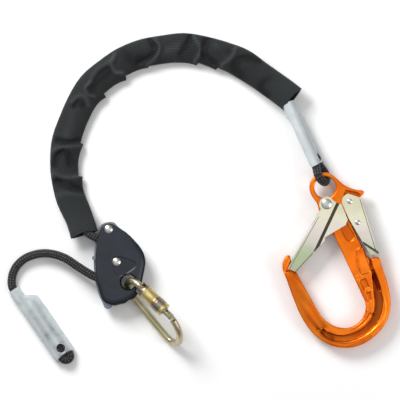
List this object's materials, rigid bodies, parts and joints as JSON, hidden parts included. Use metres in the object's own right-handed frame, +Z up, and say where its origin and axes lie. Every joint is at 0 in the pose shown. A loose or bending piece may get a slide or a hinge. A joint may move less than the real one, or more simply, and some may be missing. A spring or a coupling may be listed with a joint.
{
  "type": "adjustable work positioning lanyard",
  "caption": "Rope lanyard in a loose textile sleeve, with a scaffold hook sewn to one end and a cam rope adjuster on a twist-lock connector at the other.",
  "frame": {"origin": "on the adjuster's flat back face, between its two rivets", "axes": "+Z up from the surface the lanyard lies on, +X from the adjuster towards the hook, +Y towards the top of the rope's arc"},
  "size_m": [0.5364, 0.4601, 0.0595],
  "materials": {
    "dark_plate": "dark blue-grey anodised plate, satin",
    "bare_plate": "pale blue-grey anodised aluminium, satin",
    "steel": "plain steel, turned and lightly polished",
    "yellow_zinc": "yellow zinc plating with a faint rainbow sheen",
    "pale_zinc": "pale iridescent zinc plating, satin",
    "orange_aluminium": "orange anodised forged aluminium, satin",
    "rope": "braided black polyamide sheath",
    "sleeve_fabric": "ribbed charcoal webbing tube",
    "thread": "bonded black sewing thread",
    "clear_cover": "translucent frosted soft PVC, slightly crinkled"
  },
  "bodies": {
    "adjuster": {"adjuster_front_plate": "dark_plate", "adjuster_rear_plate": "bare_plate", "adjuster_spacer": "dark_plate", "adjuster_top_rivet": "steel", "cam_rivet": "steel", "cam_spring": "steel", "rope_in_adjuster": "rope"},
    "cam": {"cam": "bare_plate"},
    "connector": {"connector_body": "yellow_zinc", "connector_nose_pin": "steel", "connector_hinge_pin": "steel"},
    "connector_gate": {"connector_gate": "yellow_zinc", "gate_plunger": "steel", "gate_return_spring": "steel", "sleeve_retaining_ring": "steel", "sleeve_spring": "steel"},
    "locking_sleeve": {"locking_sleeve": "yellow_zinc"},
    "rope_1": {"rope_section_1": "rope", "sleeve_section_1": "sleeve_fabric"},
    "rope_2": {"rope_section_2": "rope", "sleeve_section_2": "sleeve_fabric"},
    "rope_3": {"rope_section_3": "rope", "sleeve_section_3": "sleeve_fabric"},
    "rope_4": {"rope_section_4": "rope", "sleeve_section_4": "sleeve_fabric"},
    "rope_5": {"rope_section_5": "rope", "sleeve_section_5": "sleeve_fabric"},
    "eye_end": {"rope_eye": "rope", "eye_stitching": "thread", "eye_cover": "clear_cover"},
    "hook": {"hook_body": "orange_aluminium", "hook_gate_rivet": "steel", "hook_gate_spring": "steel", "lever_pivot_rivet": "steel"},
    "hook_gate": {"hook_gate": "pale_zinc"},
    "release_lever": {"release_lever": "pale_zinc", "lever_lock_pin": "steel", "lever_spring": "steel"},
    "tail_1": {"tail_rope_1": "rope"},
    "tail_2": {"tail_rope_2": "rope"},
    "tail_end": {"tail_fold": "rope", "tail_stitching": "thread", "tail_cover": "clear_cover"}
  },
  "joints": [
    {"name": "cam_turn", "type": "hinge", "parent": "adjuster", "child": "cam", "pos_m": [0.0063, -0.0207, 0.008], "axis": [0, 0, 1], "range_deg": [-6, 8], "deforming": ["cam_spring"]},
    {"name": "connector_swing", "type": "hinge", "parent": "adjuster", "child": "connector", "pos_m": [0.023, -0.049, 0.01], "axis": [0, 0, 1], "range_deg": [-25, 25]},
    {"name": "connector_gate_open", "type": "hinge", "parent": "connector", "child": "connector_gate", "pos_m": [0.08054, -0.09624, 0.04048], "axis": [-0.6973, -0.5789, 0.4226], "range_deg": [0, 20], "deforming": ["gate_return_spring"]},
    {"name": "locking_sleeve_twist", "type": "hinge", "parent": "connector_gate", "child": "locking_sleeve", "pos_m": [0.05974, -0.07549, 0.03459], "axis": [-0.6941, 0.6925, -0.1966], "range_deg": [0, 90], "deforming": ["sleeve_spring"]},
    {"name": "rope_bend_1", "type": "hinge", "parent": "adjuster", "child": "rope_1", "pos_m": [-0.025, 0.0142, 0.0095], "axis": [0, 0, 1], "range_deg": [-5, 8]},
    {"name": "rope_bend_2", "type": "hinge", "parent": "rope_1", "child": "rope_2", "pos_m": [-0.06486, 0.09406, -0.00234], "axis": [0, 0, -1], "range_deg": [-8, 8]},
    {"name": "rope_bend_3", "type": "hinge", "parent": "rope_2", "child": "rope_3", "pos_m": [-0.04815, 0.19234, -0.003], "axis": [0, 0, 1], "range_deg": [-8, 8]},
    {"name": "rope_bend_4", "type": "hinge", "parent": "rope_3", "child": "rope_4", "pos_m": [0.02893, 0.26582, -0.003], "axis": [0, 0, -1], "range_deg": [-8, 8]},
    {"name": "rope_bend_5", "type": "hinge", "parent": "rope_4", "child": "rope_5", "pos_m": [0.13972, 0.2729, -0.00105], "axis": [0, 0, 1], "range_deg": [-8, 8]},
    {"name": "eye_bend", "type": "hinge", "parent": "rope_5", "child": "eye_end", "pos_m": [0.24747, 0.19785, 0.01124], "axis": [0, 0, 1], "range_deg": [-8, 10]},
    {"name": "hook_swing", "type": "hinge", "parent": "eye_end", "child": "hook", "pos_m": [0.2982, 0.0834, 0.0078], "axis": [0.0198, -0.0418, 0.9989], "range_deg": [-40, 35]},
    {"name": "hook_gate_open", "type": "hinge", "parent": "hook", "child": "hook_gate", "pos_m": [0.30028, 0.06052, 0.0068], "axis": [0.0198, -0.0418, 0.9989], "range_deg": [0, 30], "deforming": ["hook_gate_spring"]},
    {"name": "release_lever_squeeze", "type": "hinge", "parent": "hook", "child": "release_lever", "pos_m": [0.33265, 0.06433, 0.00632], "axis": [0.0198, -0.0418, 0.9989], "range_deg": [-3.5, 0], "deforming": ["lever_spring"]},
    {"name": "tail_bend_1", "type": "hinge", "parent": "adjuster", "child": "tail_1", "pos_m": [-0.0175, -0.0434, 0.0095], "axis": [0, 0, 1], "range_deg": [-6, 8]},
    {"name": "tail_bend_2", "type": "hinge", "parent": "tail_1", "child": "tail_2", "pos_m": [-0.08266, -0.01, 0.00085], "axis": [0, 0, 1], "range_deg": [-20, 20]},
    {"name": "tail_bend_3", "type": "hinge", "parent": "tail_2", "child": "tail_end", "pos_m": [-0.1396, -0.056, -0.0041], "axis": [0, 0, 1], "range_deg": [-15, 6]}
  ]
}
